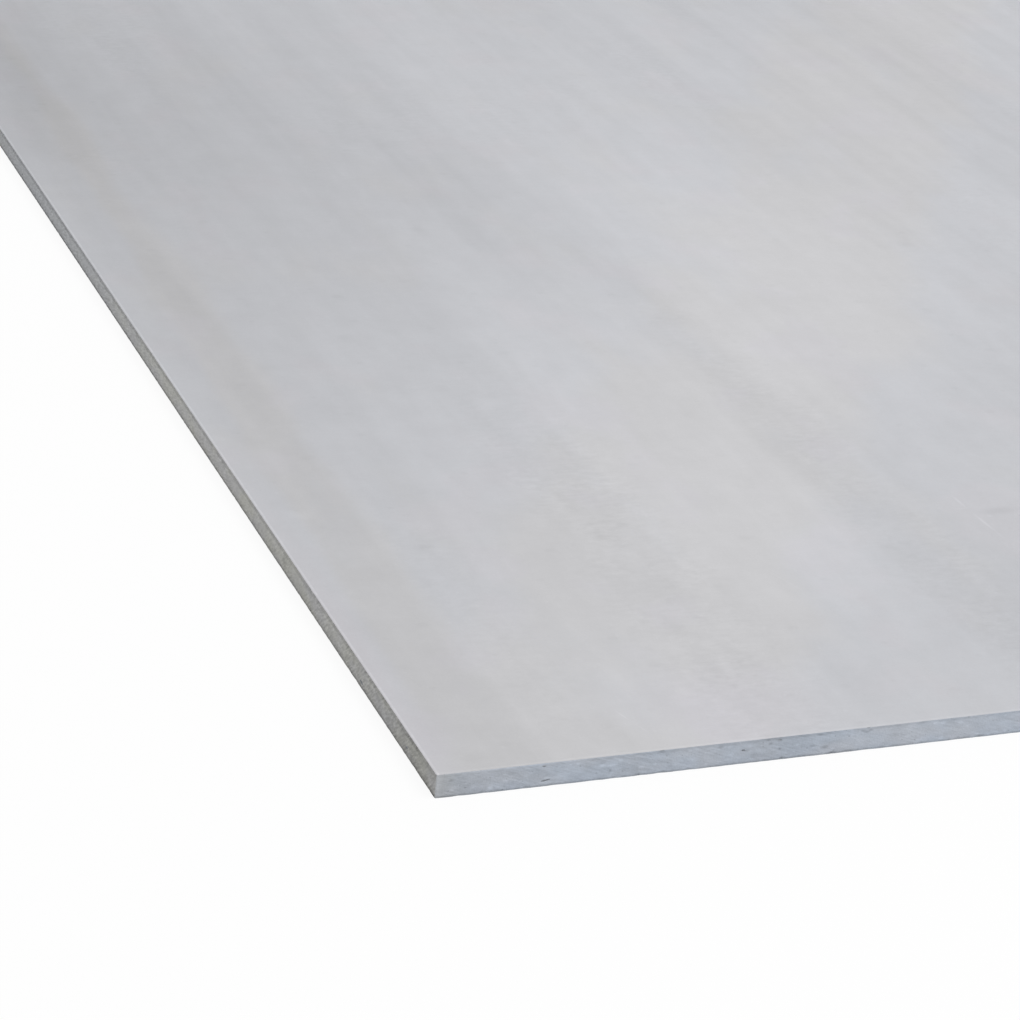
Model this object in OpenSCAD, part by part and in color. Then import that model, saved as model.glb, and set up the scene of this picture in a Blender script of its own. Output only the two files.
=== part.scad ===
// Fire-resistant board: one flat sheet of pressed, light grey cement stock, sawn on all four sides.
// It lies flat with its underside at Z 0 and its centre over the origin.
// X runs across the sheet, Y along it, the way its face is streaked, and Z up through its thickness.

/* [Sheet] */
// Length of the sheet, along the streaks of its face
board_length = 2500; // [600:50:3000]
// Width of the sheet, across the streaks
board_width = 1200; // [300:50:1250]
// Thickness of the sheet
board_thickness = 12; // [6:1:60]

/* [Worn edges] */
// Width of the small flat that handling wears along each sawn arris
arris_ease = 0.3; // [0.1:0.1:0.5]
// Radius of the four upright corners, blunted where the sheet is stood and carried
corner_radius = 0.8; // [0.6:0.1:5]

/* [Hidden] */

// Facets of a corner's full circle, where the round is drawn and not kept as a true curve
corner_facets = 48;

// Places of the corner rounds' axes, and of the worn flats, counted from the sheet's centre
corner_x = board_width / 2 - corner_radius;
corner_y = board_length / 2 - corner_radius;
eased_top = board_thickness - arris_ease;

// Section of the sheet, standing on the X axis: a rectangle with a small 45 degree flat at each corner
module eased_section(width) {
    half = width / 2;
    polygon([
        [-half + arris_ease, 0],
        [half - arris_ease, 0],
        [half, arris_ease],
        [half, eased_top],
        [half - arris_ease, board_thickness],
        [-half + arris_ease, board_thickness],
        [-half, eased_top],
        [-half, arris_ease]
    ]);
}

// The sheet between its end corners, with the eased long sides
module lengthwise_body() {
    rotate([90, 0, 0])
        linear_extrude(height = 2 * corner_y, center = true)
            eased_section(board_width);
}

// The sheet between its side corners, with the eased short ends
module crosswise_body() {
    rotate([90, 0, 90])
        linear_extrude(height = 2 * corner_x, center = true)
            eased_section(board_length);
}

// One upright corner, turned from half of the section, so that the worn flats run on round it
module corner_round() {
    rotate_extrude($fn = corner_facets)
        polygon([
            [0, 0],
            [corner_radius - arris_ease, 0],
            [corner_radius, arris_ease],
            [corner_radius, eased_top],
            [corner_radius - arris_ease, board_thickness],
            [0, board_thickness]
        ]);
}

module board() {
    color([0.77, 0.78, 0.79])
        union() {
            lengthwise_body();
            crosswise_body();
            for (side = [-1, 1], end = [-1, 1])
                translate([side * corner_x, end * corner_y, 0])
                    corner_round();
        }
}

board();
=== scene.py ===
# %% [markdown]
# This lesson dresses one sheet of fire-resistant board: light grey cement stock, pressed flat and sawn
# square. The sheet is one solid piece, so the lesson makes one mesh. It starts as a plain slab, gets the
# small forms that sawing and handling leave, and then a finish for its pressed face, its back, its sawn
# edges and its chips.

# %% Load the frame
import math
import random

import bmesh
import bpy
from mathutils import Matrix, Vector


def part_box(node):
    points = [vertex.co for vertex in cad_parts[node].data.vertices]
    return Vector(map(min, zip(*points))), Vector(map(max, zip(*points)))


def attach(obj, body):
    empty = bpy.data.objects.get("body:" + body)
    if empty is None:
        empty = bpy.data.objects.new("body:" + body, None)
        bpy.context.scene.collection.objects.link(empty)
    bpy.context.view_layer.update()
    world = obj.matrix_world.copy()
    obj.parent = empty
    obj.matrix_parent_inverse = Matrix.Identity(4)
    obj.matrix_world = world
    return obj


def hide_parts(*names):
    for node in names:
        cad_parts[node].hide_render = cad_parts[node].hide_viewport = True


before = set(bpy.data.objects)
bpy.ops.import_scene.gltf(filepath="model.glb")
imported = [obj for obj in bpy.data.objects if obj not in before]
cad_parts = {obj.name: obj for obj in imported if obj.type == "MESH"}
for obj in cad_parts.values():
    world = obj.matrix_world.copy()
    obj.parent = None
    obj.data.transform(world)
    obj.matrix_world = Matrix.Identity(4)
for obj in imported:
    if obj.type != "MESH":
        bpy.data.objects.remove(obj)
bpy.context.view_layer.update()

low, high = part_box("board")
MM = 0.001
half_width = (high[0] - low[0]) / 2
half_length = (high[1] - low[1]) / 2
thickness = high[2] - low[2]
print("sheet", 2 * half_width, "by", 2 * half_length, "by", thickness, "m")

# %% [markdown]
# Each step of modelling works on one object, and on the part of it that is picked. A loaded frame leaves
# its own objects selected, so everything is let go first. By hand one would click on edges. A script
# picks them by where they lie or which way they face, which is why these helpers take a question and ask
# it of every element.

# %% Helpers that take hold of a piece and pick parts of it
def hold(piece):
    """Selects this piece alone and makes it active."""
    if bpy.context.object and bpy.context.object.mode != "OBJECT":
        bpy.ops.object.mode_set(mode="OBJECT")
    bpy.ops.object.select_all(action="DESELECT")
    piece.select_set(True)
    bpy.context.view_layer.objects.active = piece


def open_up(piece, kind):
    """Puts the piece in edit mode, ready to pick elements of this kind: VERT, EDGE or FACE."""
    hold(piece)
    bpy.ops.object.mode_set(mode="EDIT")
    bpy.ops.mesh.select_mode(type=kind)


def pick(piece, kind, wanted):
    """In edit mode, picks the verts, edges or faces for which wanted(element) is true, and counts them."""
    bpy.ops.mesh.select_all(action="DESELECT")
    form = bmesh.from_edit_mesh(piece.data)
    found = [element for element in getattr(form, kind) if wanted(element)]
    for element in found:
        element.select_set(True)
    form.select_flush_mode()
    bmesh.update_edit_mesh(piece.data)
    return len(found)


def close_up():
    """Goes back to object mode, which writes the edit into the mesh."""
    bpy.ops.object.mode_set(mode="OBJECT")


# %% [markdown]
# The sheet is pressed in one piece, so it is modelled from one block. Its four upright corners are
# blunted first, as they are when a sheet is stood on one of them. Then each wide face is inset while it
# rises, twice, which draws the small worn round of the arris along every side and round the corners. A
# bevel of those edges would do it too, but its small faces would run into each other at the corners,
# where the edges are shorter than the bevel.

# %% Start the slab
CORNER_RADIUS = 0.8 * MM
CORNER_STEPS = 5
ARRIS_WEAR = 0.3 * MM
ARRIS_STEPS = ((0.09 * MM, 0.21 * MM), (0.21 * MM, 0.09 * MM))
LEVEL = 0.9

hold(bpy.data.objects["board"])
bpy.ops.object.select_all(action="DESELECT")
bpy.ops.mesh.primitive_cube_add(
    size=1,
    location=(0, 0, thickness / 2),
    scale=(2 * half_width, 2 * half_length, thickness - 2 * ARRIS_WEAR),
)
board = bpy.context.active_object
board.name = "fire_board"
board.data.name = "fire_board"
bpy.ops.object.transform_apply(location=True, rotation=True, scale=True)

# %% Blunt the corners and the arrises
def stands_up(edge):
    return abs(edge.verts[0].co.z - edge.verts[1].co.z) > thickness / 2


open_up(board, "EDGE")
corners = pick(board, "edges", stands_up)
bpy.ops.mesh.bevel(offset=CORNER_RADIUS, segments=CORNER_STEPS, affect="EDGES")
bpy.ops.mesh.select_mode(type="FACE")
for up in (1, -1):
    pick(board, "faces", lambda f: f.normal.z * up > LEVEL)
    for inwards, upwards in ARRIS_STEPS:
        bpy.ops.mesh.inset(thickness=inwards, depth=upwards)
close_up()
print("blunted", corners, "corners and the arrises, which leaves", len(board.data.polygons), "faces")

# %% [markdown]
# Small forms need small faces, but only where they are. The wide faces are cut into a coarse grid, enough
# for the sheet's slow waves, and a narrow rim along each edge is divided finely, for the worn arris and
# the sawn side. A bisect cuts straight through the whole sheet, as a saw would. Subdividing the rim's
# edges alone then makes the rim fine and leaves the middle as it is. The coarse faces beside the rim now
# have many corners in a row, which would be cut into slivers, so each is fanned out from its middle.

# %% Cut the grid and the rim
RIM_LINES = (2.5 * MM, 8 * MM)
GRID_STEP = 24 * MM
SIDE_ROWS = 5
RIM = RIM_LINES[-1]


def grid_lines(half):
    """Places of the cuts across one direction: two near each edge, and an even grid between them."""
    inner = half - RIM
    steps = round(2 * inner / GRID_STEP)
    grid = [-inner + 2 * inner * i / steps for i in range(steps + 1)]
    outer = half - RIM_LINES[0]
    return [-outer, *grid, outer]


open_up(board, "EDGE")
for normal, half in ((Vector((1, 0, 0)), half_width), (Vector((0, 1, 0)), half_length)):
    for place in grid_lines(half):
        bpy.ops.mesh.select_all(action="SELECT")
        bpy.ops.mesh.bisect(plane_co=normal * place, plane_no=normal)
for row in range(1, SIDE_ROWS):
    bpy.ops.mesh.select_all(action="SELECT")
    bpy.ops.mesh.bisect(plane_co=(0, 0, thickness * row / SIDE_ROWS), plane_no=(0, 0, 1))
close_up()
print("after the cuts,", len(board.data.polygons), "faces")

# %% Divide the rim finely
HAIR = 0.01 * MM
# Each kind of edge along the rim: from and up to what length, and how many parts of about 3 mm it gets
RIM_EDGES = ((4 * MM, 10 * MM, 2), (10 * MM, 40 * MM, 8))


def runs_in_rim(edge, along, across, half, shortest, longest):
    """Whether the edge runs along one axis, in the rim at an end of the other, with a length in between."""
    first, second = edge.verts[0].co, edge.verts[1].co
    in_rim = min(abs(first[across]), abs(second[across])) > half - RIM - HAIR
    length = abs(first[along] - second[along])
    straight = abs(first[across] - second[across]) + abs(first.z - second.z) < HAIR
    return in_rim and straight and shortest < length < longest


open_up(board, "EDGE")
for along, across, half in ((0, 1, half_length), (1, 0, half_width)):
    for shortest, longest, parts in RIM_EDGES:
        pick(board, "edges", lambda e: runs_in_rim(e, along, across, half, shortest, longest))
        bpy.ops.mesh.subdivide(number_cuts=parts - 1)
bpy.ops.mesh.select_mode(type="FACE")
fanned = pick(board, "faces", lambda f: len(f.verts) > 4)
bpy.ops.mesh.poke()
close_up()
print(fanned, "faces fanned out, and with the rim divided there are", len(board.data.polygons))

# %% [markdown]
# A pressed and sawn sheet is never quite flat. Its faces carry slow waves along the press direction, the
# saw leaves its sides a little uneven, and handling nibbles at the arrises. Each is a Displace modifier
# that follows a cloudy texture and acts on one vertex group. All of them push inwards only, because the
# construction gives the sheet's outer box, and nothing may stand out of it.

# %% Group the points by what wears them
TOUCHING = 0.02 * MM
ARRIS_REACH = 1.2 * ARRIS_WEAR
WAVE_FADE = 60 * MM


def inset_of(place):
    """How far a point lies inside the sheet's nearest side, in metres."""
    return min(half_width - abs(place.x), half_length - abs(place.y))


def on_a_face(place):
    return min(place.z, thickness - place.z) < TOUCHING


def add_group(piece, name, weight):
    """Adds a vertex group in which each point has the weight that weight(place) gives, from 0 to 1."""
    group = piece.vertex_groups.new(name=name)
    count = 0
    for vertex in piece.data.vertices:
        share = weight(vertex.co)
        if share > 0:
            group.add([vertex.index], share, "REPLACE")
            count += 1
    print(name, "has", count, "points")


def pressed_share(place):
    return min((inset_of(place) - RIM) / WAVE_FADE, 1) if on_a_face(place) else 0


def sawn_share(place):
    return 1 if inset_of(place) < TOUCHING else 0


def arris_share(place):
    near_side = inset_of(place) < ARRIS_REACH
    near_face = min(place.z, thickness - place.z) < ARRIS_REACH
    return 1 if near_side and near_face else 0


hold(board)
add_group(board, "pressed", pressed_share)
add_group(board, "sawn", sawn_share)
add_group(board, "arris", arris_share)

# %% Push the waves, the saw's unevenness and the arris wear in
def push_in(piece, group, depth, grain, contrast=1.0, brightness=1.0):
    """Pushes one group's points inwards by up to depth, after a cloudy texture of this grain."""
    clouds = bpy.data.textures.new(group + "_clouds", "CLOUDS")
    clouds.noise_scale = grain
    clouds.contrast = contrast
    clouds.intensity = brightness
    clouds.use_clamp = True
    relief = piece.modifiers.new(group + "_relief", "DISPLACE")
    relief.texture = clouds
    relief.texture_coords = "LOCAL"
    relief.vertex_group = group
    relief.mid_level = 0
    relief.strength = -depth
    hold(piece)
    bpy.ops.object.modifier_apply(modifier=relief.name)
    bpy.data.textures.remove(clouds)


push_in(board, "pressed", depth=0.25 * MM, grain=220 * MM)
push_in(board, "sawn", depth=0.12 * MM, grain=9 * MM)
push_in(board, "arris", depth=0.2 * MM, grain=4 * MM, contrast=2.5, brightness=0.7)

# %% [markdown]
# Cement stock is brittle. Small chips break out of its arrises, and the saw opens little voids in its
# sides where a bundle of fibre pulled out. Each is the mark of something missing, so it is cut away:
# rough lumps are set where they bite into the sheet, joined, and taken off it with one Boolean. Their own
# material stays on the cut, which gives the fresh break a look of its own. The first few are where the
# near corner shows them, the rest are spread by chance, with a fixed seed so that each run gives the same
# sheet.

# %% Make the lumps
# How far a lump is tipped and a chip turned, in radians, and what share of a chip's reach lies outside
LUMP_TIP = 0.25
CHIP_TURN = 0.2
CHIP_OUTSIDE = 0.3

chance = random.Random(41)
bpy.ops.object.select_all(action="DESELECT")
bpy.ops.mesh.primitive_ico_sphere_add(subdivisions=2, radius=1)
first_lump = bpy.context.active_object
lumps = []


def add_lump(place, reach, turn=0.0):
    """Copies the lump to a place, with these half sizes along X, Y and Z, turned about Z and tipped."""
    lump = bpy.data.objects.new("lump", first_lump.data.copy())
    bpy.context.collection.objects.link(lump)
    lump.location = place
    lump.scale = reach
    lump.rotation_euler = (chance.uniform(-LUMP_TIP, LUMP_TIP), chance.uniform(-LUMP_TIP, LUMP_TIP), turn)
    lumps.append(lump)


def along_side(side, distance, inwards, height):
    """A place by a side: how far it is from the side's first corner, how far inside the side, and its Z."""
    if side in ("near", "far"):
        end = -1 if side == "near" else 1
        return Vector((-half_width + distance, end * (half_length - inwards), height))
    end = -1 if side == "left" else 1
    return Vector((end * (half_width - inwards), -half_length + distance, height))


def reach_of(side, along, inwards, upright):
    """The half sizes of a lump along X, Y and Z, from those along the side, into it and upright."""
    return (along, inwards, upright) if side in ("near", "far") else (inwards, along, upright)


def chip(side, distance, height, along, inwards, upright):
    """Bites a chip out of an arris, at the top of the sheet or at its foot, with these half sizes."""
    add_lump(
        along_side(side, distance, -CHIP_OUTSIDE * inwards, height),
        reach_of(side, along, inwards, upright),
        chance.uniform(-CHIP_TURN, CHIP_TURN),
    )


def pit(side, distance, height, along, upright, deep):
    """Opens a void of this half length, half height and depth in a sawn side."""
    add_lump(along_side(side, distance, 0, height), reach_of(side, along, deep, upright))


# %% Set the chips and voids that show at the near corner
TOP, FOOT = thickness, 0.0
# Each chip: how far along it is, at the top or the foot, and its half sizes along, inwards and upright
NEAR_CHIPS = (
    (109, TOP, 2.2, 0.3, 0.5),
    (211.4, TOP, 2.0, 0.35, 0.6),
    (110, FOOT, 2.2, 0.4, 0.5),
    (169, FOOT, 1.4, 0.4, 0.7),
    (182, FOOT, 1.8, 0.4, 0.6),
    (195, FOOT, 2.2, 0.5, 0.7),
    (203, FOOT, 2.0, 0.4, 0.6),
    (272, FOOT, 2.4, 0.4, 0.5),
)
# Each void: its side, how far along and how high it is, and its half length, half height and depth
SEEN_PITS = (
    ("near", 52.3, 3.1, 2.4, 0.4, 0.5),
    ("near", 149.2, 7.1, 1.1, 0.55, 0.6),
    ("near", 51.2, 10.4, 0.8, 0.4, 0.4),
    ("near", 167.4, 10.5, 1.1, 0.5, 0.5),
    ("left", 107.4, 3.2, 2.1, 0.7, 0.7),
    ("left", 40, 4.5, 1.2, 0.6, 0.4),
    ("left", 378, 1.2, 2.6, 0.6, 0.6),
)
for distance, height, *size in NEAR_CHIPS:
    chip("near", distance * MM, height, *(length * MM for length in size))
for side, *size in SEEN_PITS:
    pit(side, *(length * MM for length in size))

# %% Spread the others along every side
SIDES = {"near": 2 * half_width, "far": 2 * half_width, "left": 2 * half_length, "right": 2 * half_length}
SEEN = {"near": 290 * MM, "left": 780 * MM}
CHIP_EVERY = 70 * MM
PIT_EVERY = 55 * MM
UNEVEN = 0.35
LUMP_ROOM = 6 * MM
HARD_KNOCKS = 0.12
HARD_KNOCK_SIZE = 2.2
# How far a chip reaches in, in millimetres, and its half sizes along and upright as shares of that
CHIP_INWARDS = (0.3, 0.7)
CHIP_ALONG = (2, 4)
CHIP_UPRIGHT = (0.9, 1.8)
# The height of a void as a share of the thickness, its half height in millimetres, and its length by that
PIT_LEVELS = (0.25, 0.75)
PIT_UPRIGHT = (0.3, 0.7)
PIT_ALONG = (1, 3.5)
PIT_DEPTH = 0.6 * MM


def steps_along(side, every):
    """Places along a side, about this far apart, past the part of it that the near corner shows."""
    count = round(SIDES[side] / every)
    for i in range(1, count):
        distance = (i + chance.uniform(-UNEVEN, UNEVEN)) * every
        if SEEN.get(side, 0) < distance < SIDES[side] - LUMP_ROOM:
            yield distance


for side in SIDES:
    for height in (TOP, FOOT):
        for distance in steps_along(side, CHIP_EVERY):
            knock = HARD_KNOCK_SIZE if chance.random() < HARD_KNOCKS else 1
            inwards = knock * chance.uniform(*CHIP_INWARDS) * MM
            along = inwards * chance.uniform(*CHIP_ALONG)
            chip(side, distance, height, along, inwards, inwards * chance.uniform(*CHIP_UPRIGHT))
    for distance in steps_along(side, PIT_EVERY):
        height = chance.uniform(*PIT_LEVELS) * thickness
        upright = chance.uniform(*PIT_UPRIGHT) * MM
        pit(side, distance, height, upright * chance.uniform(*PIT_ALONG), upright, PIT_DEPTH)
print(len(lumps), "lumps to take away")

# %% [markdown]
# The lumps are joined first, so that one modifier can roughen them all and one Boolean take them away.
# The roughness moves their skin by a quarter of a millimetre at most. A lump thinner than that would turn
# inside out, and the Boolean would leave nothing of the sheet, so each of them is thicker.

# %% Join the lumps and roughen them
CRUMBLE_GRAIN = 1.1 * MM
CRUMBLE_DEPTH = 0.5 * MM

bpy.ops.object.select_all(action="DESELECT")
for lump in lumps:
    lump.select_set(True)
bpy.context.view_layer.objects.active = lumps[0]
bpy.ops.object.join()
cutter = bpy.context.active_object
bpy.ops.object.transform_apply(location=True, rotation=True, scale=True)
bpy.data.objects.remove(first_lump)

crumble = bpy.data.textures.new("crumble", "CLOUDS")
crumble.noise_scale = CRUMBLE_GRAIN
break_up = cutter.modifiers.new("break_up", "DISPLACE")
break_up.texture = crumble
break_up.texture_coords = "LOCAL"
break_up.mid_level = 0.5
break_up.strength = CRUMBLE_DEPTH
hold(cutter)
bpy.ops.object.modifier_apply(modifier=break_up.name)
bpy.data.textures.remove(crumble)
print("the lumps have", len(cutter.data.polygons), "faces")

# %% Take them off the sheet
for name in ("board_face", "board_back", "sawn_end", "sawn_side", "fresh_break"):
    bpy.data.materials.new(name)
for name in ("board_face", "board_back", "sawn_end", "sawn_side"):
    board.data.materials.append(bpy.data.materials[name])
cutter.data.materials.append(bpy.data.materials["fresh_break"])

take_away = board.modifiers.new("take_away", "BOOLEAN")
take_away.operation = "DIFFERENCE"
take_away.solver = "EXACT"
take_away.material_mode = "TRANSFER"
take_away.object = cutter
hold(board)
bpy.ops.object.modifier_apply(modifier=take_away.name)
bpy.data.objects.remove(cutter)
print("after the chips,", len(board.data.polygons), "faces,", len(board.data.materials), "materials")

# %% [markdown]
# A Boolean is exact, and so it leaves crumbs: points a hair's breadth apart, and points that split an
# edge to no purpose. Each would give slivers once the faces are cut into triangles. The first are joined
# and the second dissolved, which leaves the sheet one closed skin and changes nothing that one can see.

# %% Clean the cuts
JOIN_WITHIN = 0.01 * MM

open_up(board, "VERT")
bpy.ops.mesh.select_all(action="SELECT")
bpy.ops.mesh.remove_doubles(threshold=JOIN_WITHIN)
needless = pick(board, "verts", lambda v: len(v.link_edges) == 2)
bpy.ops.mesh.dissolve_verts()
close_up()
print(needless, "needless points dissolved, which leaves", len(board.data.polygons), "faces")

# %% [markdown]
# The faces that the slab began with are sorted by the way they face: up, down, along the sheet or across
# it. The worn flats of the arrises go with the sawn sides below them. Then everything is shaded smooth
# except where two faces meet at more than a small angle, so that the slow waves are soft and the arrises
# stay crisp.

# %% Sort the faces into their finishes
STEEP = 0.8
SMOOTH_BELOW = math.radians(24)


def give(name, wanted):
    """Gives one finish to the faces for which wanted(face) is true, apart from those that a chip left."""
    slot = board.data.materials.find(name)
    fresh = board.data.materials.find("fresh_break")
    count = pick(board, "faces", lambda f: f.material_index != fresh and wanted(f))
    board.active_material_index = slot
    bpy.ops.object.material_slot_assign()
    print(name, "on", count, "faces")


open_up(board, "FACE")
give("sawn_end", lambda f: abs(f.normal.y) >= abs(f.normal.x) and abs(f.normal.z) < STEEP)
give("sawn_side", lambda f: abs(f.normal.x) > abs(f.normal.y) and abs(f.normal.z) < STEEP)
give("board_face", lambda f: f.normal.z >= STEEP)
give("board_back", lambda f: f.normal.z <= -STEEP)
close_up()

hold(board)
bpy.ops.object.shade_smooth_by_angle(angle=SMOOTH_BELOW)
triangles = sum(len(face.vertices) - 2 for face in board.data.polygons)
print("the sheet has", triangles, "triangles")

# %% [markdown]
# When the sheet is used elsewhere, its finish is painted onto one square picture, and a map says where on
# it each face lies. A map made by itself draws all faces at one scale, which leaves five rows of dots for
# a side 12 mm high. This one is laid out like a cutting plan: the face and the back stand side
# by side, the face a little wider, and each side runs across the picture above them at over twice their
# scale. A chip goes with its side.

# %% Lay out the map
MAP_PARTS = {
    "board_face": ((0.004, 0.004), (0.570, 0.925)),
    "board_back": ((0.582, 0.004), (0.414, 0.925)),
    "near": ((0.004, 0.936), (0.992, 0.0125)),
    "far": ((0.004, 0.952), (0.992, 0.0125)),
    "left": ((0.004, 0.968), (0.992, 0.0125)),
    "right": ((0.004, 0.984), (0.992, 0.0125)),
}


def map_part_of(face):
    """Names the part of the map that a face lies on: that of its finish, or that of its nearest side."""
    finish = board.data.materials[face.material_index].name
    if finish in MAP_PARTS:
        return finish
    if half_length - abs(face.center.y) < half_width - abs(face.center.x):
        return "near" if face.center.y < 0 else "far"
    return "left" if face.center.x < 0 else "right"


def place_on_map(part, place):
    """Where on the map a point of this part lies, as seen from outside, by its share of the whole way."""
    across = place.x / (2 * half_width) + 0.5
    along = place.y / (2 * half_length) + 0.5
    up = place.z / thickness
    ways = {
        "board_face": (across, along),
        "board_back": (1 - across, along),
        "near": (across, up),
        "far": (1 - across, up),
        "left": (1 - along, up),
        "right": (along, up),
    }
    corner, size = MAP_PARTS[part]
    return [corner[i] + size[i] * share for i, share in enumerate(ways[part])]


spots = []
for face in board.data.polygons:
    part = map_part_of(face)
    for corner in face.vertices:
        spots.extend(place_on_map(part, board.data.vertices[corner].co))
layout = board.data.uv_layers.new(name="OFBake")
layout.uv.foreach_set("vector", spots)
print("the map has", len(spots) // 2, "corners")

# %% [markdown]
# A finish is a small network of nodes, and most of it repeats: a cloud of some size, a soft step, a sum.
# This helper gives those short names, so that each finish below reads like a recipe. Patterns read Object
# coordinates, which on this sheet are real places. They are turned into millimetres from its near left
# corner, so that every number below can be held against a ruler laid on the sheet. A flat surface only
# needs the two ways that it runs, and a noise of two dimensions takes half the time of one of three.

# %% A helper for mixing finishes
class Recipe:
    """A material in the making, with short ways to add its nodes and to do sums with them."""

    def __init__(self, name, axes):
        self.material = bpy.data.materials[name]
        self.material.use_nodes = True
        self.tree = self.material.node_tree
        self.shader = self.tree.nodes["Principled BSDF"]
        self.dimensions = f"{len(axes)}D"
        place = self.add("TexCoord", {}).outputs["Object"]
        sockets = {0: place, 1: [1 / MM] * 3, 2: (half_width / MM, half_length / MM, 0)}
        from_corner = self.add("VectorMath", sockets, operation="MULTIPLY_ADD").outputs[0]
        parts = self.add("SeparateXYZ", {0: from_corner}).outputs
        self.ways = [parts[axis] for axis in axes]
        self.place = self.add("CombineXYZ", dict(enumerate(self.ways))).outputs[0]

    def add(self, kind, sockets, **settings):
        """Adds a node, with its settings, and fills its sockets with numbers or links."""
        node = self.tree.nodes.new("ShaderNode" + kind)
        for name, value in settings.items():
            setattr(node, name, value)
        for name, value in sockets.items():
            if isinstance(value, bpy.types.NodeSocket):
                self.tree.links.new(value, node.inputs[name])
            else:
                node.inputs[name].default_value = value
        return node

    def reckon(self, operation, *terms):
        """One step of arithmetic on two or three numbers."""
        return self.add("Math", dict(enumerate(terms)), operation=operation).outputs[0]

    def total(self, *shares):
        """Adds up shares, each times its own weight."""
        so_far = 0.0
        for share, weight in shares:
            so_far = self.reckon("MULTIPLY_ADD", share, weight, so_far)
        return so_far

    def both(self, first, second):
        """What lies in both of two shares."""
        return self.reckon("MULTIPLY", first, second)

    def soft(self, value, start, end):
        """A soft step: 0 at start and beyond, 1 at end and beyond, either way round."""
        sockets = {"Value": value, "From Min": start, "From Max": end}
        return self.add("MapRange", sockets, interpolation_type="SMOOTHSTEP").outputs["Result"]

    def band(self, value, start, full, fade, end):
        """Rises from start to full, stays at 1, and goes back to 0 from fade to end."""
        return self.both(self.soft(value, start, full), self.soft(value, end, fade))

    def mix(self, share, under, over):
        """Goes from one colour to another as share goes from 0 to 1."""
        node = self.add("Mix", {}, data_type="RGBA")
        for place, value in ((0, share), (6, under), (7, over)):
            socket = node.inputs[place]
            if isinstance(value, bpy.types.NodeSocket):
                self.tree.links.new(value, socket)
            else:
                socket.default_value = value
        return node.outputs[2]

    def toned(self, colour, tone):
        """Makes a colour lighter or darker by a tone in hundredths, where 0 leaves it as it is."""
        factor = self.reckon("MULTIPLY_ADD", tone, 0.01, 1)
        return self.add("VectorMath", {0: colour, "Scale": factor}, operation="SCALE").outputs[0]


# %% [markdown]
# The patterns come on top of that. A spot is an oval with a soft rim, a scratch is a spot drawn out along
# a line, clouds are a noise stretched to some grain, and specks are the middles of scattered cells. All
# of their lengths are in millimetres on the sheet.

# %% Add the patterns
class Finish(Recipe):
    """A recipe with the patterns of pressed and sawn stock, which ends by joining them to the shader."""

    def spot(self, place, centre, reach):
        """1 in the middle of an oval patch with these half sizes, and 0 at its rim and beyond."""
        scale = (1 / reach[0], 1 / reach[1], 0)
        start = (-centre[0] / reach[0], -centre[1] / reach[1], 0)
        share = self.add("VectorMath", {0: place, 1: scale, 2: start}, operation="MULTIPLY_ADD").outputs[0]
        distance = self.add("VectorMath", {0: share}, operation="LENGTH").outputs["Value"]
        return self.soft(distance, 1, 0)

    def scratch(self, start, end, width):
        """1 along a thin line between two places, fading to both of its ends and to its sides."""
        lean = (end[0] - start[0]) / (end[1] - start[1])
        upright = self.reckon("MULTIPLY_ADD", self.ways[1], -lean, self.ways[0])
        place = self.add("CombineXYZ", {"X": upright, "Y": self.ways[1]}).outputs[0]
        middle = (start[1] + end[1]) / 2
        return self.spot(place, (start[0] - lean * start[1], middle), (width, abs(end[1] - start[1]) / 2))

    def grained(self, grain, shift=0.0, turn=0.0):
        """The place, counted in grains of this size each way, from a start some grains off, and turned."""
        size = [*grain, 1][:3]
        start = [-shift * length for length in size]
        sockets = {"Vector": self.place, "Scale": size, "Location": start, "Rotation": (0, 0, turn)}
        return self.add("Mapping", sockets, vector_type="TEXTURE").outputs[0]

    def clouds(self, grain, detail=2.0, harshness=0.5, shift=0.0, turn=0.0):
        """A noise from 0 to 1, about 0.5 on average, with features of this size each way."""
        place = self.grained(grain, shift, turn)
        sockets = {"Vector": place, "Scale": 1.0, "Detail": detail, "Roughness": harshness}
        return self.add("TexNoise", sockets, noise_dimensions=self.dimensions).outputs["Fac"]

    def swing(self, noise, strength):
        """Turns a noise about 0.5 into a change about 0, mostly within this strength either way."""
        return self.reckon("MULTIPLY_ADD", noise, 4 * strength, -2 * strength)

    def specks(self, grain, largest):
        """Scattered specks, about one to a grain, whose radii go up to this share of it."""
        sockets = {"Vector": self.grained(grain), "Scale": 1.0}
        cells = self.add("TexVoronoi", sockets, voronoi_dimensions=self.dimensions).outputs
        draw = self.add("SeparateXYZ", {0: cells["Color"]}).outputs["X"]
        rim = self.both(draw, largest)
        return self.soft(cells["Distance"], rim, self.both(rim, 0.4))

    def bump(self, height, depth, below=None):
        """Bumps the surface by a height of 0 to 1 that stands for this depth, over any bump below it."""
        sockets = {"Height": height, "Distance": depth * MM, "Strength": 1.0}
        if below is not None:
            sockets["Normal"] = below
        return self.add("Bump", sockets).outputs["Normal"]

    def finish(self, colour, roughness, normal, shine):
        """Joins the colour, roughness and bump to the shader, and sets how much it shines."""
        self.tree.links.new(colour, self.shader.inputs["Base Color"])
        self.tree.links.new(roughness, self.shader.inputs["Roughness"])
        self.tree.links.new(normal, self.shader.inputs["Normal"])
        self.shader.inputs["Specular IOR Level"].default_value = shine
        print(self.material.name, "is mixed from", len(self.tree.nodes), "nodes")


def grey(red, green, blue):
    """A colour given as it looks on a screen, from 0 to 255, as the shader wants it."""
    def light(level):
        share = level / 255
        return share / 12.92 if share <= 0.04045 else ((share + 0.055) / 1.055) ** 2.4
    return (light(red), light(green), light(blue), 1.0)
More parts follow.
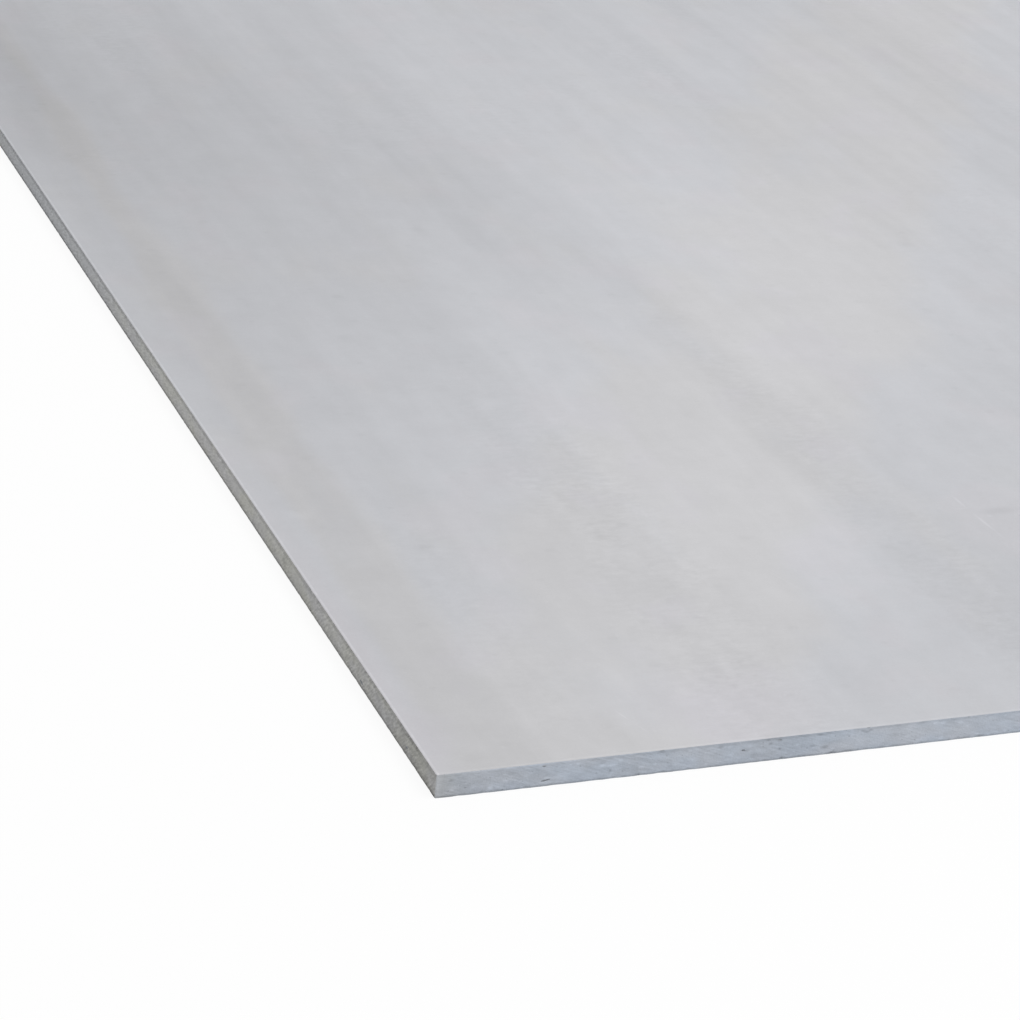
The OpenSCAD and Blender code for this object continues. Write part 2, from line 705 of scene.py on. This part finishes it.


# %% [markdown]
# The face is what the sheet is bought for: smooth, matt and light grey. It isn't even, though. The press
# leaves soft streaks along it, some with one crisp side where a band of slurry met the next, and its tone
# varies in broad patches. The broadest of them also hold a painted sheen: the face is painted lighter in a
# wide band to the right and darker towards the far left, as a soft reflection of the light lies on it.
# These are drawn one by one where the near corner shows them, as bands and ovals with soft rims, each a
# few hundredths lighter or darker than the rest. A picture of a real sheet would be quicker, but it would
# repeat, and it would carry its own light with it.

# %% Name the streaks and patches of the face
# Each streak: where it rises, is full, fades and ends across the sheet, the same along it, and its tone
ALL_ALONG = (-2000, -1900, 4000, 4100)
STREAKS = (
    ((-10, 22, 38, 66), ALL_ALONG, -5.8),
    ((26, 34, 42, 52), (180, 320, 600, 740), -1.9),
    ((50, 64, 84, 100), (80, 200, 480, 700), -2.4),
    ((154, 166, 178, 190), (-300, -200, 250, 420), -0.8),
    ((184, 200, 290, 310), (60, 200, 480, 740), 3.6),
    ((184, 200, 212, 240), (140, 230, 340, 480), 1.5),
    ((246, 258, 292, 304), (90, 150, 280, 400), 1.0),
    ((198, 208, 232, 248), (330, 420, 620, 740), 1.8),
    ((240, 260, 310, 330), (520, 600, 760, 900), -2.0),
    ((304, 314, 328, 342), (40, 130, 600, 760), -1.4),
    ((334, 348, 440, 480), (380, 470, 720, 900), 1.8),
    ((94, 104, 150, 162), (-200, -100, 60, 190), 2.6),
    ((240, 248, 256, 266), (480, 600, 760, 900), -2.0),
    ((-30, -10, 10, 40), (60, 130, 200, 260), -1.9),
)
# Each patch: its centre across and along the sheet, its half sizes the same way, and its tone
# The two broadest, dark towards the far left and light to the right, are partly own tone, partly painted
# sheen
PATCHES_AND_SHEEN = (
    ((80, 980), (340, 880), -14.8),
    ((440, 600), (210, 300), 6.0),
    ((262, 230), (110, 200), 1.8),
    ((350, 430), (40, 190), 3.8),
    ((350, 100), (110, 230), -5.6),
    ((490, 380), (80, 150), -3.8),
    ((560, 480), (60, 100), -4.0),
    ((240, 30), (70, 110), -2.0),
    ((20, 740), (60, 180), 4.0),
    ((350, 420), (180, 120), 2.0),
    ((172, 245), (45, 150), 1.7),
    ((182, 100), (50, 60), 1.4),
    ((560, 590), (90, 130), -1.6),
    ((420, 288), (50, 65), -2.2),
    ((325, 72), (50, 60), -2.2),
    ((178, 152), (16, 24), -2.5),
    ((18, 575), (24, 110), 2.2),
)
# Each fleck, where a crumb of darker or paler stock was pressed in: its centre, its half sizes and its tone
FLECKS = (
    ((70, 226), (9, 5), -7.0),
    ((391, 210.5), (15, 7), -8.5),
    ((372, 217), (7, 1.8), 3.5),
    ((383.4, 205.6), (2.4, 2.2), 6.0),
    ((313, 180), (9, 6), -3.5),
    ((240, 205), (8, 5), -3.5),
    ((133, 572), (8, 8), -3.0),
    ((220, 680), (7, 8), -4.0),
    ((533, 607), (10, 8), -4.0),
    ((505, 528), (8, 9), -3.5),
    ((118, 508), (8, 8), -3.0),
    ((60, 470), (10, 7), -3.5),
    ((205, 470), (9, 6), -3.0),
    ((20, 12), (8, 6), -3.0),
    ((172, 400), (14, 10), 3.0),
    ((18, 275), (12, 9), 3.5),
)
# Each scratch: where it starts, where it ends, its half width and its tone
SCRATCHES = (
    ((100.8, 42), (105, 28), 0.8, 9.0),
    ((105, 28), (110, 13), 0.6, 4.0),
    ((375, 237), (375.4, 214), 1.3, 9.0),
    ((375.6, 214), (377.2, 184), 1.5, 11.0),
    ((377, 192), (377.6, 172), 1.2, 4.0),
    ((232, 175), (247, 130), 0.8, 3.0),
)
# Each crinkled stretch, where the stock was dragged: across and along as for a streak, and its share
CRINKLES = (
    ((126, 160, 190, 222), (-100, 20, 280, 500), 1.0),
    ((290, 320, 336, 366), (-100, 60, 320, 640), 0.8),
    ((40, 62, 76, 100), (20, 60, 180, 330), 0.5),
)
print(len(STREAKS), "streaks,", len(PATCHES_AND_SHEEN), "patches and", len(FLECKS), "flecks are set by hand")


# %% Draw the streaks, patches and flecks
def drawn_tone(face):
    """The tone of all that is listed above, on a place that wavers a little, as the edges of a streak do.
    """
    waver = face.swing(face.clouds((70, 110), detail=3), 3)
    shift = face.add("CombineXYZ", {"X": waver}).outputs[0]
    place = face.add("VectorMath", {0: face.place, 1: shift}, operation="ADD").outputs[0]
    across = face.reckon("ADD", face.ways[0], waver)
    tones = []
    for over, length, tone in STREAKS:
        streak = face.band(across, *over)
        if length is not ALL_ALONG:
            streak = face.both(streak, face.band(face.ways[1], *length))
        tones.append((streak, tone))
    for centre, reach, tone in PATCHES_AND_SHEEN + FLECKS:
        tones.append((face.spot(place, centre, reach), tone))
    for start, end, width, tone in SCRATCHES:
        tones.append((face.scratch(start, end, width), tone))
    return face.total(*tones)


# %% [markdown]
# Past the part that was drawn, the sheet goes on in the same manner, but by chance: long, narrow clouds
# stand for the streaks there, and larger ones for the patches. Over all of it go the small things that
# make it stock and not paint: a soft mottle, fine ripples across the press direction, and pale and dark
# specks. A thin, uneven line just inside each arris is a painted highlight, where the worn round catches
# light.

# %% Add what comes by chance
DRAWN_ACROSS = (420, 700)
DRAWN_ALONG = (620, 1000)


def chance_streaks(sheet):
    """Streaks and patches by chance, for where none are drawn one by one."""
    wide = sheet.swing(sheet.clouds((150, 1100), shift=7), 4.5)
    narrow = sheet.swing(sheet.clouds((34, 900), detail=3, shift=3), 3.0)
    return sheet.reckon("ADD", wide, narrow)


def chance_mottle(sheet, mottle):
    """The small unevenness that is everywhere: a smear, a mottle, a speckle and scattered specks."""
    return sheet.total(
        (sheet.swing(sheet.clouds((11, 110), detail=2), 1.0), 1.2),
        (sheet.swing(mottle, 1.0), 2.8),
        (sheet.swing(sheet.clouds((1.5, 1.3), detail=1), 1.0), 1.0),
        (sheet.specks((46, 34), 0.11), -2.6),
        (sheet.specks((19, 23), 0.08), 2.2),
    )


RIM_LINE = (0.4, 1.0, 1.3, 2.0)
RIM_SIDE_SHARE = 1.0
RIM_END_SHARE = 0.4


def rim_highlight(sheet):
    """A thin, uneven painted highlight just inside each arris, where its round catches light, mostly on the
    long sides.
    """
    lines = []
    for way, half, share in zip(sheet.ways, (half_width, half_length), (RIM_SIDE_SHARE, RIM_END_SHARE)):
        inset = sheet.reckon("MINIMUM", way, sheet.reckon("SUBTRACT", 2 * half / MM, way))
        lines.append((sheet.band(inset, *RIM_LINE), share))
    unevenness = sheet.reckon("MULTIPLY_ADD", sheet.soft(sheet.clouds((5, 5)), 0.3, 0.6), 0.5, 0.5)
    return sheet.both(sheet.total(*lines), unevenness)


# %% Choose the hues of the face
FACE_COOL = grey(194.8, 196, 200.5)
FACE_WARM = grey(195.8, 195.6, 197.8)
FACE_LILAC = grey(196.8, 195.8, 200.4)
# The face is warmer in a slanting swath and along the first streak, which leans a little
SWATH_SLANT = -1.6
SWATH = (-330, -190, -40, 100)
STREAK_LEAN = -0.031
STREAK_WARMTH = ((2, 16), (66, 42))
LILAC_SPOTS = (((0, 120), (20, 300)), ((160, 34), (70, 60)))


def face_hue(face):
    """The colour of the face before its tone: cool, warm or lilac by place."""
    across, along = face.ways
    swath = face.band(face.reckon("MULTIPLY_ADD", across, SWATH_SLANT, along), *SWATH)
    leaning = face.reckon("MULTIPLY_ADD", along, STREAK_LEAN, across)
    streak = face.both(face.soft(leaning, *STREAK_WARMTH[0]), face.soft(across, *STREAK_WARMTH[1]))
    drift = face.swing(face.clouds((60, 140), shift=5), 0.5)
    warmth = face.reckon("ADD", face.reckon("MAXIMUM", swath, streak), drift)
    lilac = face.total(
        (face.soft(face.clouds((60, 80), shift=31), 0.54, 0.7), 0.5),
        *((face.spot(face.place, centre, reach), 1.0) for centre, reach in LILAC_SPOTS),
    )
    return face.mix(lilac, face.mix(face.soft(warmth, 0, 1), FACE_COOL, FACE_WARM), FACE_LILAC)


# %% Finish the face
WRINKLES_EVERYWHERE = 0.9
WRINKLES_WHERE_DRAGGED = 4.5
LEAST_DRAGGED = 0.35


def dragged_share(face, beyond):
    """How far the stock was dragged: patchily, in the stretches named above and in others by chance."""
    stretches = [(face.both(face.band(face.ways[0], *over), face.band(face.ways[1], *length)), share)
                 for over, length, share in CRINKLES]
    patchy = face.soft(face.clouds((26, 44), detail=3, shift=21), 0.38, 0.66)
    by_chance = face.both(face.soft(face.clouds((90, 260), shift=13), 0.5, 0.8), beyond)
    evener = face.reckon("MULTIPLY_ADD", patchy, 1 - LEAST_DRAGGED, LEAST_DRAGGED)
    return face.both(face.total((by_chance, 0.8), *stretches), evener)


def finish_face():
    face = Finish("board_face", "XY")
    across, along = face.ways
    mottle = face.clouds((24, 30), detail=4, harshness=0.6)
    wrinkle = face.clouds((8, 4.2), detail=3, harshness=0.6)
    beyond = face.reckon("MAXIMUM", face.soft(across, *DRAWN_ACROSS), face.soft(along, *DRAWN_ALONG))
    wrinkling = face.reckon(
        "MULTIPLY_ADD", dragged_share(face, beyond), WRINKLES_WHERE_DRAGGED, WRINKLES_EVERYWHERE
    )
    tone = face.total(
        (drawn_tone(face), 1),
        (chance_streaks(face), beyond),
        (chance_mottle(face, mottle), 1),
        (face.swing(wrinkle, 1.0), wrinkling),
        # a painted highlight just inside the arrises
        (rim_highlight(face), 14.0),
    )
    rough = face.reckon("ADD", face.swing(mottle, 0.05), 0.66)
    relief = face.bump(face.clouds((1.6, 1.2)), 0.02, face.bump(wrinkle, 0.08))
    face.finish(face.toned(face_hue(face), tone), rough, relief, shine=0.3)


finish_face()

# %% [markdown]
# Nobody sees the back once the sheet is fixed, so it is left as the press made it: a little darker, and
# with the faint weave of the felt that carried the wet stock. The weave is two sets of fine ridges that
# cross, which wave textures give, broken up by clouds so that it comes and goes.

# %% Finish the back
BACK_PALE = grey(188, 189, 191)
BACK_DARK = grey(184, 186, 190)
FELT_PITCH = 2.4
WAVE_TURN = 20


def finish_back():
    back = Finish("board_back", "XY")
    mottle = back.clouds((24, 30), detail=4, harshness=0.6)
    threads = back.grained((FELT_PITCH * WAVE_TURN, FELT_PITCH * WAVE_TURN))
    sockets = {"Vector": threads, "Scale": 2 * math.pi, "Distortion": 0.4}
    weft, warp = (back.add("TexWave", sockets, bands_direction=way) for way in "XY")
    pressed = back.soft(back.clouds((60, 90), detail=3), 0.3, 0.7)
    weave = back.both(back.both(weft.outputs["Fac"], warp.outputs["Fac"]), pressed)
    tone = back.total(
        (chance_streaks(back), 1),
        (chance_mottle(back, mottle), 1.2),
        # a painted highlight just inside the arrises
        (rim_highlight(back), 9.0),
        (weave, 3.0),
    )
    colour = back.toned(back.mix(back.clouds((60, 140)), BACK_PALE, BACK_DARK), tone)
    rough = back.reckon("ADD", back.swing(mottle, 0.05), 0.78)
    grain = back.clouds((1.6, 1.6))
    back.finish(colour, rough, back.bump(grain, 0.05, back.bump(weave, 0.1)), shine=0.25)


finish_back()

# %% [markdown]
# Sawing opens the stock. Its sides are rougher than the face and show what is inside: grey cement of two
# shades, pale bundles of fibre and dark pores. A round blade leaves slanting strokes, which lie rather
# flat where it ran along the ends and stand steeper at the start of the long sides. A dark, ragged line
# along the foot is a painted shadow, where the sheet meets the floor, and a thinner dark line runs under
# the top arris. The ends read blue-grey, the long sides plain grey with a little olive, so one recipe is
# mixed twice, from two lists of amounts.

# %% Name the marks of the two sides that the near corner shows
# Each mark: how far along the side it is and how high, its half sizes the same way, and its tone
# The darkest marks, at the chips and voids and just under the top arris, are painted shade in those
# hollows;
# the light strip at the corner and the long light band along the top of the end are painted highlights
END_MARKS = (
    ((0, 6), (90, 60), -3.0),
    ((270, 6), (120, 60), 4.0),
    ((240, 6), (44, 60), 1.5),
    ((1.0, 6), (2.8, 12), 9.0),
    ((14, 5), (10, 8), -6.0),
    ((7.4, 8.5), (2.0, 1.2), -24.0),
    ((13, 4), (4.5, 1.8), -5.0),
    ((26, 2.4), (2.2, 1.5), 30.0),
    ((31, 5), (9, 4), 4.0),
    ((51.2, 10.4), (2.2, 1.0), -14.0),
    ((52, 2.0), (4.5, 0.7), 12.0),
    ((49, 8), (6, 2.4), -8.0),
    ((53, 6), (2.4, 1.0), -9.0),
    ((65, 7), (9, 8), 6.0),
    ((64, 9.8), (1.2, 0.8), 14.0),
    ((67.6, 9.6), (1.2, 0.9), 13.0),
    ((38, 12.0), (80, 1.7), 27.0),
    ((79.5, 7.4), (2.4, 1.2), 21.0),
    ((84.8, 7.2), (3.4, 0.9), 19.0),
    ((79.5, 8.7), (3.5, 0.7), -8.0),
    ((83.5, 4.2), (1.2, 1.3), -28.0),
    ((84.4, 3.0), (1.0, 0.7), 14.0),
    ((90, 4.2), (4, 1.4), -8.0),
    ((95, 5), (14, 5), -4.0),
    ((99, 4.6), (2.2, 0.9), 7.0),
    ((109, 11.0), (3.4, 0.9), -14.0),
    ((114.5, 5.6), (2.0, 1.9), 9.0),
    ((128, 6), (18, 12), 4.0),
    ((137.6, 10.3), (2.6, 1.3), -30.0),
    ((151.0, 6.9), (2.0, 0.8), -20.0),
    ((154.5, 4.2), (2.4, 2.6), -9.0),
    ((161.5, 11.0), (1.8, 0.9), -20.0),
    ((162.7, 8.9), (1.6, 1.0), -30.0),
    ((168, 6), (28, 30), -6.0),
    ((167.4, 10.5), (2.2, 1.2), -12.0),
    ((167.6, 6.0), (1.3, 1.0), -28.0),
    ((184.7, 5.3), (3.2, 1.0), -26.0),
    ((190.6, 4.2), (3.2, 1.4), -28.0),
    ((187.6, 10.8), (2.4, 0.9), -26.0),
    ((178, 0.9), (14, 1.0), -12.0),
    ((168.8, 1.0), (1.8, 0.9), -26.0),
    ((194.8, 0.9), (3.0, 0.9), -30.0),
    ((202.5, 0.9), (4.5, 0.9), -24.0),
    ((211.6, 9.7), (2.4, 1.1), -28.0),
    ((209.6, 10.4), (1.9, 0.9), -24.0),
    ((213.8, 10.4), (1.9, 0.9), -24.0),
    ((209, 6), (14, 12), 6.0),
    ((246.8, 10.2), (1.8, 0.8), 18.0),
    ((239, 11.1), (4, 0.7), -8.0),
    ((272.5, 1.0), (3.6, 0.8), -22.0),
    ((270.4, 2.1), (1.4, 0.7), 16.0),
)
SIDE_MARKS = (
    ((0, 6), (160, 60), -11.0),
    ((34, 7), (34, 9), -8.0),
    ((34, 10.3), (18, 2), -8.0),
    ((40, 12.3), (280, 1.4), -16.0),
    ((234.5, 7), (5, 7), -20.0),
    ((349, 9.5), (7, 3), -12.0),
    ((532, 9), (8, 3), -12.0),
    ((400, 6), (260, 60), 7.5),
    ((620, 6), (280, 60), 4.5),
    ((104.4, 3.1), (2.6, 0.8), -16.0),
)


# %% Name the amounts for the two kinds of sawn side
FARTHER_ALONG = (120, 480)
END_AMOUNTS = {
    "mottle": ((7, 2.4), 8.0),
    "stroke": ((12, 1.0), math.radians(-20), math.radians(-16), 8.5),
    "crumb": 3.0,
    "deeper": 0.0,
    "top_line": ((10.2, 11.0, 11.5, 12.2), -11.0),
    "foot_shadow": ((1.5, 0.5), -25.0),
    "plainer": ((0, 6), (20, 60), grey(178, 181, 185)),
}
SIDE_AMOUNTS = {
    "mottle": ((7, 3.5), 8.0),
    "stroke": ((6, 1.2), math.radians(-36), math.radians(-16), 22.0),
    "crumb": 8.0,
    "deeper": 0.5,
    "top_line": ((9.0, 10.2, 11.3, 12.3), -17.0),
    "foot_shadow": ((2.2, 1.0), -26.0),
    "plainer": ((800, 6), (440, 300), grey(176, 178, 181)),
}


# %% Draw the strokes of the saw, the dark line under the top arris and the painted shadow at the foot
STROKES_EVERYWHERE = 0.4
STROKES_FAINTER = 0.3


def saw_strokes(sawn, farther, amounts):
    """The slanting strokes of the blade, which lie flatter farther along, and how strong they are."""
    grain, slant, farther_slant, tone = amounts["stroke"]
    here = sawn.clouds(grain, detail=2, turn=slant)
    there = sawn.clouds(grain, detail=2, turn=farther_slant)
    strokes = sawn.reckon("MULTIPLY_ADD", farther, sawn.reckon("SUBTRACT", there, here), here)
    struck = sawn.soft(sawn.clouds((22, 30), shift=17), 0.25, 0.6)
    least = STROKES_EVERYWHERE * tone
    return strokes, sawn.reckon("MULTIPLY_ADD", struck, tone - least, least)


def dark_lines_and_foot_shadow(sawn, farther, amounts):
    """The dark, ragged line under the top arris and the painted shadow along the foot, deeper farther
    along.
    """
    ragged = sawn.reckon("ADD", sawn.ways[1], sawn.swing(sawn.clouds((3, 40), detail=3, shift=4), 0.4))
    deeper = sawn.reckon("MULTIPLY_ADD", farther, amounts["deeper"], 1)
    top_limits, top_tone = amounts["top_line"]
    foot_limits, foot_tone = amounts["foot_shadow"]
    return (
        (sawn.both(sawn.band(ragged, *top_limits), top_tone), deeper),
        # the painted shadow along the foot, where the sheet meets the floor
        (sawn.both(sawn.soft(ragged, *foot_limits), foot_tone), deeper),
    )


# %% Finish the sawn ends and sides
def finish_sawn(name, axes, first_grey, second_grey, amounts, marks):
    """Mixes a sawn surface of two greys, with its own marks at their places along and up."""
    sawn = Finish(name, axes)
    mottle_grain, mottle_tone = amounts["mottle"]
    mottle = sawn.clouds(mottle_grain, detail=4, harshness=0.6)
    farther = sawn.soft(sawn.ways[0], *FARTHER_ALONG)
    strokes, stroke_tone = saw_strokes(sawn, farther, amounts)
    fainter = sawn.reckon("MULTIPLY_ADD", farther, -STROKES_FAINTER * amounts["deeper"], 1)
    crumb = sawn.clouds((1.0, 0.9), detail=2)
    pores = sawn.specks((7, 5), 0.1)
    tone = sawn.total(
        (sawn.swing(sawn.clouds((45, 45)), 1.0), 2.0),
        (sawn.swing(mottle, 1.0), mottle_tone),
        (sawn.both(sawn.swing(strokes, 1.0), stroke_tone), fainter),
        (sawn.swing(crumb, 1.0), amounts["crumb"]),
        (sawn.specks((9, 5.5), 0.22), 10.0),
        (pores, -16.0),
        *dark_lines_and_foot_shadow(sawn, farther, amounts),
        *((sawn.spot(sawn.place, centre, reach), weight) for centre, reach, weight in marks),
    )
    two_greys = sawn.soft(sawn.clouds((30, 16), detail=2, shift=9), 0.3, 0.7)
    centre, reach, plain_grey = amounts["plainer"]
    plainer = sawn.spot(sawn.place, centre, reach)
    colour = sawn.toned(sawn.mix(plainer, sawn.mix(two_greys, first_grey, second_grey), plain_grey), tone)
    rough = sawn.reckon("ADD", sawn.swing(crumb, 0.05), 0.85)
    height = sawn.total((mottle, 0.5), (strokes, 0.3), (pores, -0.5))
    sawn.finish(colour, rough, sawn.bump(crumb, 0.08, sawn.bump(height, 0.15)), shine=0.2)


finish_sawn("sawn_end", "XZ", grey(176, 184, 195.5), grey(179, 184, 192.5), END_AMOUNTS, END_MARKS)
finish_sawn("sawn_side", "YZ", grey(178, 178, 178), grey(180, 180, 175), SIDE_AMOUNTS, SIDE_MARKS)

# %% [markdown]
# A break shows the stock as it is inside, uncut and undusted: the same blue-grey, coarser, and full of
# crumbs. Its greys are painted darker than those of the sawn sides, as painted shade in the hollow that
# each chip and void leaves. Its faces point every way, so its noises have all three dimensions.

# %% Finish the breaks
def finish_break():
    fresh = Finish("fresh_break", "XYZ")
    crumbs = fresh.clouds((0.7, 0.7, 0.7), detail=3, harshness=0.6)
    patches = fresh.clouds((4, 4, 4))
    tone = fresh.total((fresh.swing(crumbs, 1.0), 9), (fresh.swing(patches, 1.0), 4))
    # painted shade: the break's two greys are darker than the sawn stock's, for the shade in its hollows
    colour = fresh.toned(fresh.mix(patches, grey(150, 156, 165), grey(156, 159, 163)), tone)
    rough = fresh.reckon("ADD", fresh.swing(crumbs, 0.04), 0.9)
    fresh.finish(colour, rough, fresh.bump(crumbs, 0.25), shine=0.15)


finish_break()

# %% [markdown]
# The dressed sheet stands for the construction's solid board. It rides on the one body that the sheet is.

# %% Join the sheet to the frame
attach(board, "root")
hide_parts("board")

# %% [markdown]
# The sheet lies on a plain pale floor that runs out of sight. To the camera, and in reflections, the
# floor is nearly white, with a little of the light that falls on it left in, so that the sheet's shadow
# still shows.

# %% Lay the floor
FLOOR_REACH = 40
FLOOR_WHITE = 0.9
SHADOW_KEPT = 0.08


def seen_directly(nodes, links):
    """1 for a ray that comes from the camera, off something shiny or through glass, and 0 for others."""
    path = nodes.new("ShaderNodeLightPath")
    share = path.outputs["Is Camera Ray"]
    for way in ("Is Glossy Ray", "Is Transmission Ray"):
        larger = nodes.new("ShaderNodeMath")
        larger.operation = "MAXIMUM"
        links.new(share, larger.inputs[0])
        links.new(path.outputs[way], larger.inputs[1])
        share = larger.outputs[0]
    return share


bpy.ops.object.select_all(action="DESELECT")
bpy.ops.mesh.primitive_plane_add(size=2 * FLOOR_REACH, location=(0, 0, 0))
floor = bpy.context.active_object
floor.name = "floor"
floor.data.name = "floor"
pale = bpy.data.materials.new("pale_floor")
pale.use_nodes = True
nodes, links = pale.node_tree.nodes, pale.node_tree.links
lit = nodes["Principled BSDF"]
lit.inputs["Base Color"].default_value = (FLOOR_WHITE, FLOOR_WHITE, FLOOR_WHITE, 1)
lit.inputs["Roughness"].default_value = 1
lit.inputs["Specular IOR Level"].default_value = 0
white = nodes.new("ShaderNodeEmission")
whiteness = nodes.new("ShaderNodeMath")
whiteness.operation = "MULTIPLY"
links.new(seen_directly(nodes, links), whiteness.inputs[0])
whiteness.inputs[1].default_value = 1 - SHADOW_KEPT
blend = nodes.new("ShaderNodeMixShader")
links.new(whiteness.outputs[0], blend.inputs["Fac"])
links.new(lit.outputs[0], blend.inputs[1])
links.new(white.outputs[0], blend.inputs[2])
links.new(blend.outputs[0], nodes["Material Output"].inputs["Surface"])
floor.data.materials.append(pale)

# %% [markdown]
# The light is that of a studio: an even white sky, and one large soft lamp above, in front and to the
# right. The face gets most of it, the near end some, and the left side only the sky. As with the floor,
# the camera and reflections see a plain white backdrop, not the sky that lights the sheet.

# %% Light the studio
SKY_LEVEL = 0.58
SOFTBOX_PLACE = (1.6, -2.6, 4.8)
SOFTBOX_TARGET = (0, -0.6, 0)
SOFTBOX_SIZE = 3
SOFTBOX_POWER = 150

world = bpy.data.worlds.new("studio")
bpy.context.scene.world = world
world.use_nodes = True
nodes, links = world.node_tree.nodes, world.node_tree.links
ambient = nodes["Background"]
ambient.inputs["Color"].default_value = (1, 1, 1, 1)
ambient.inputs["Strength"].default_value = SKY_LEVEL
backdrop = nodes.new("ShaderNodeBackground")
backdrop.inputs["Color"].default_value = (1, 1, 1, 1)
backdrop.inputs["Strength"].default_value = 1
blend = nodes.new("ShaderNodeMixShader")
links.new(seen_directly(nodes, links), blend.inputs["Fac"])
links.new(ambient.outputs[0], blend.inputs[1])
links.new(backdrop.outputs[0], blend.inputs[2])
links.new(blend.outputs[0], nodes["World Output"].inputs["Surface"])


def aim(thing, target):
    """Turns a lamp so that it points at a target."""
    thing.rotation_euler = (Vector(target) - thing.location).to_track_quat("-Z", "Y").to_euler()


bpy.ops.object.light_add(type="AREA", location=SOFTBOX_PLACE)
softbox = bpy.context.active_object
softbox.name = "softbox"
softbox.data.shape = "DISK"
softbox.data.size = SOFTBOX_SIZE
softbox.data.energy = SOFTBOX_POWER
aim(softbox, SOFTBOX_TARGET)

# %% [markdown]
# The camera looks down on the near left corner, as a person does who stands by it and leans over. Its
# place, its two angles, its small roll and its lens come from the straight arrises: two bundles of
# parallel lines and the sheet's thickness fix all of them.

# %% Set the camera
CAMERA_FROM_CORNER = Vector((-457.8, -1192.6, 719.1)) * MM
HEADING = math.radians(22.02)
LOOKING_DOWN = math.radians(24.28)
ROLL = math.radians(4.73)
LENS = 116.33

bpy.ops.object.camera_add()
camera = bpy.context.active_object
camera.name = "camera"
camera.data.sensor_width = 36
camera.data.lens = LENS
camera.data.clip_start = 0.05
camera.data.clip_end = 200
camera.location = Vector((-half_width, -half_length, 0)) + CAMERA_FROM_CORNER
turn = Matrix.Rotation(-HEADING, 4, "Z")
tip = Matrix.Rotation(math.pi / 2 - LOOKING_DOWN, 4, "X")
lean = Matrix.Rotation(ROLL, 4, "Z")
camera.rotation_euler = (turn @ tip @ lean).to_euler()
bpy.context.scene.camera = camera
bpy.context.scene.view_settings.view_transform = "Standard"
